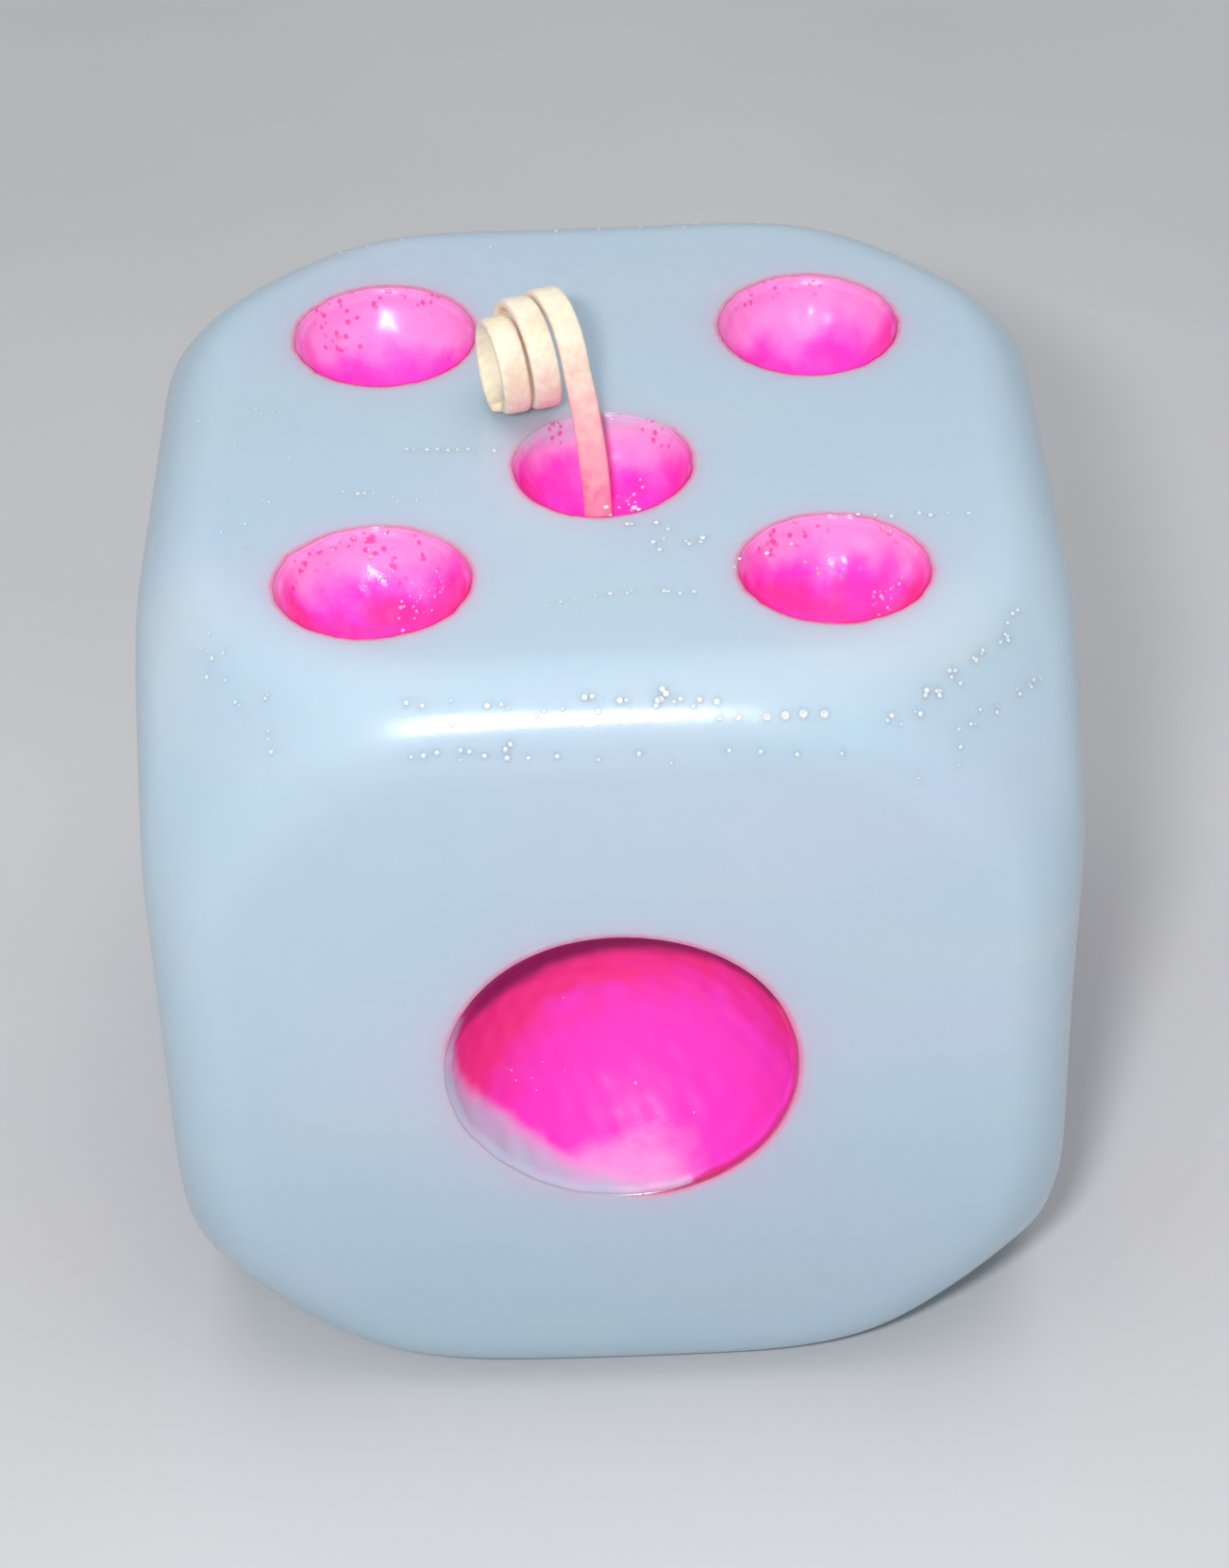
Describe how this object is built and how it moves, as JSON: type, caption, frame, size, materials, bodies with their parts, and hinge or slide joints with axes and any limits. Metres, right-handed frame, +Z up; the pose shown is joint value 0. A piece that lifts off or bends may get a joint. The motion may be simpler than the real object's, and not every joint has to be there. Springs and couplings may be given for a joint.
{
  "type": "die-shaped candle",
  "caption": "Candle cast as a playing die: pale blue wax cube with rounded edges, recessed pips with a pink coating, and a cream braided wick wound into a small coil above the top face.",
  "frame": {"origin": "middle of the base, on the surface that the candle stands on", "axes": "+Z up through the face with five pips, -Y out of the face with the single large pip, +X to the right seen from the front"},
  "size_m": [0.075, 0.075, 0.0857],
  "materials": {
    "wax": "satin, slightly translucent cast wax",
    "pip_coating": "fluorescent pink wax coating, satin",
    "wick": "waxed cotton braid, flat, matt"
  },
  "bodies": {
    "root": {"wax_body": "wax", "pip_lining_top_1": "pip_coating", "pip_lining_top_2": "pip_coating", "pip_lining_top_3": "pip_coating", "pip_lining_top_4": "pip_coating", "pip_lining_top_5": "pip_coating", "pip_lining_bottom_1": "pip_coating", "pip_lining_bottom_2": "pip_coating", "pip_lining_front_1": "pip_coating", "pip_lining_back_1": "pip_coating", "pip_lining_back_2": "pip_coating", "pip_lining_back_3": "pip_coating", "pip_lining_back_4": "pip_coating", "pip_lining_back_5": "pip_coating", "pip_lining_back_6": "pip_coating", "pip_lining_left_1": "pip_coating", "pip_lining_left_2": "pip_coating", "pip_lining_left_3": "pip_coating", "pip_lining_right_1": "pip_coating", "pip_lining_right_2": "pip_coating", "pip_lining_right_3": "pip_coating", "pip_lining_right_4": "pip_coating", "wick_core": "wick", "wick_stem": "wick", "wick_coil": "wick"}
  },
  "joints": []
}
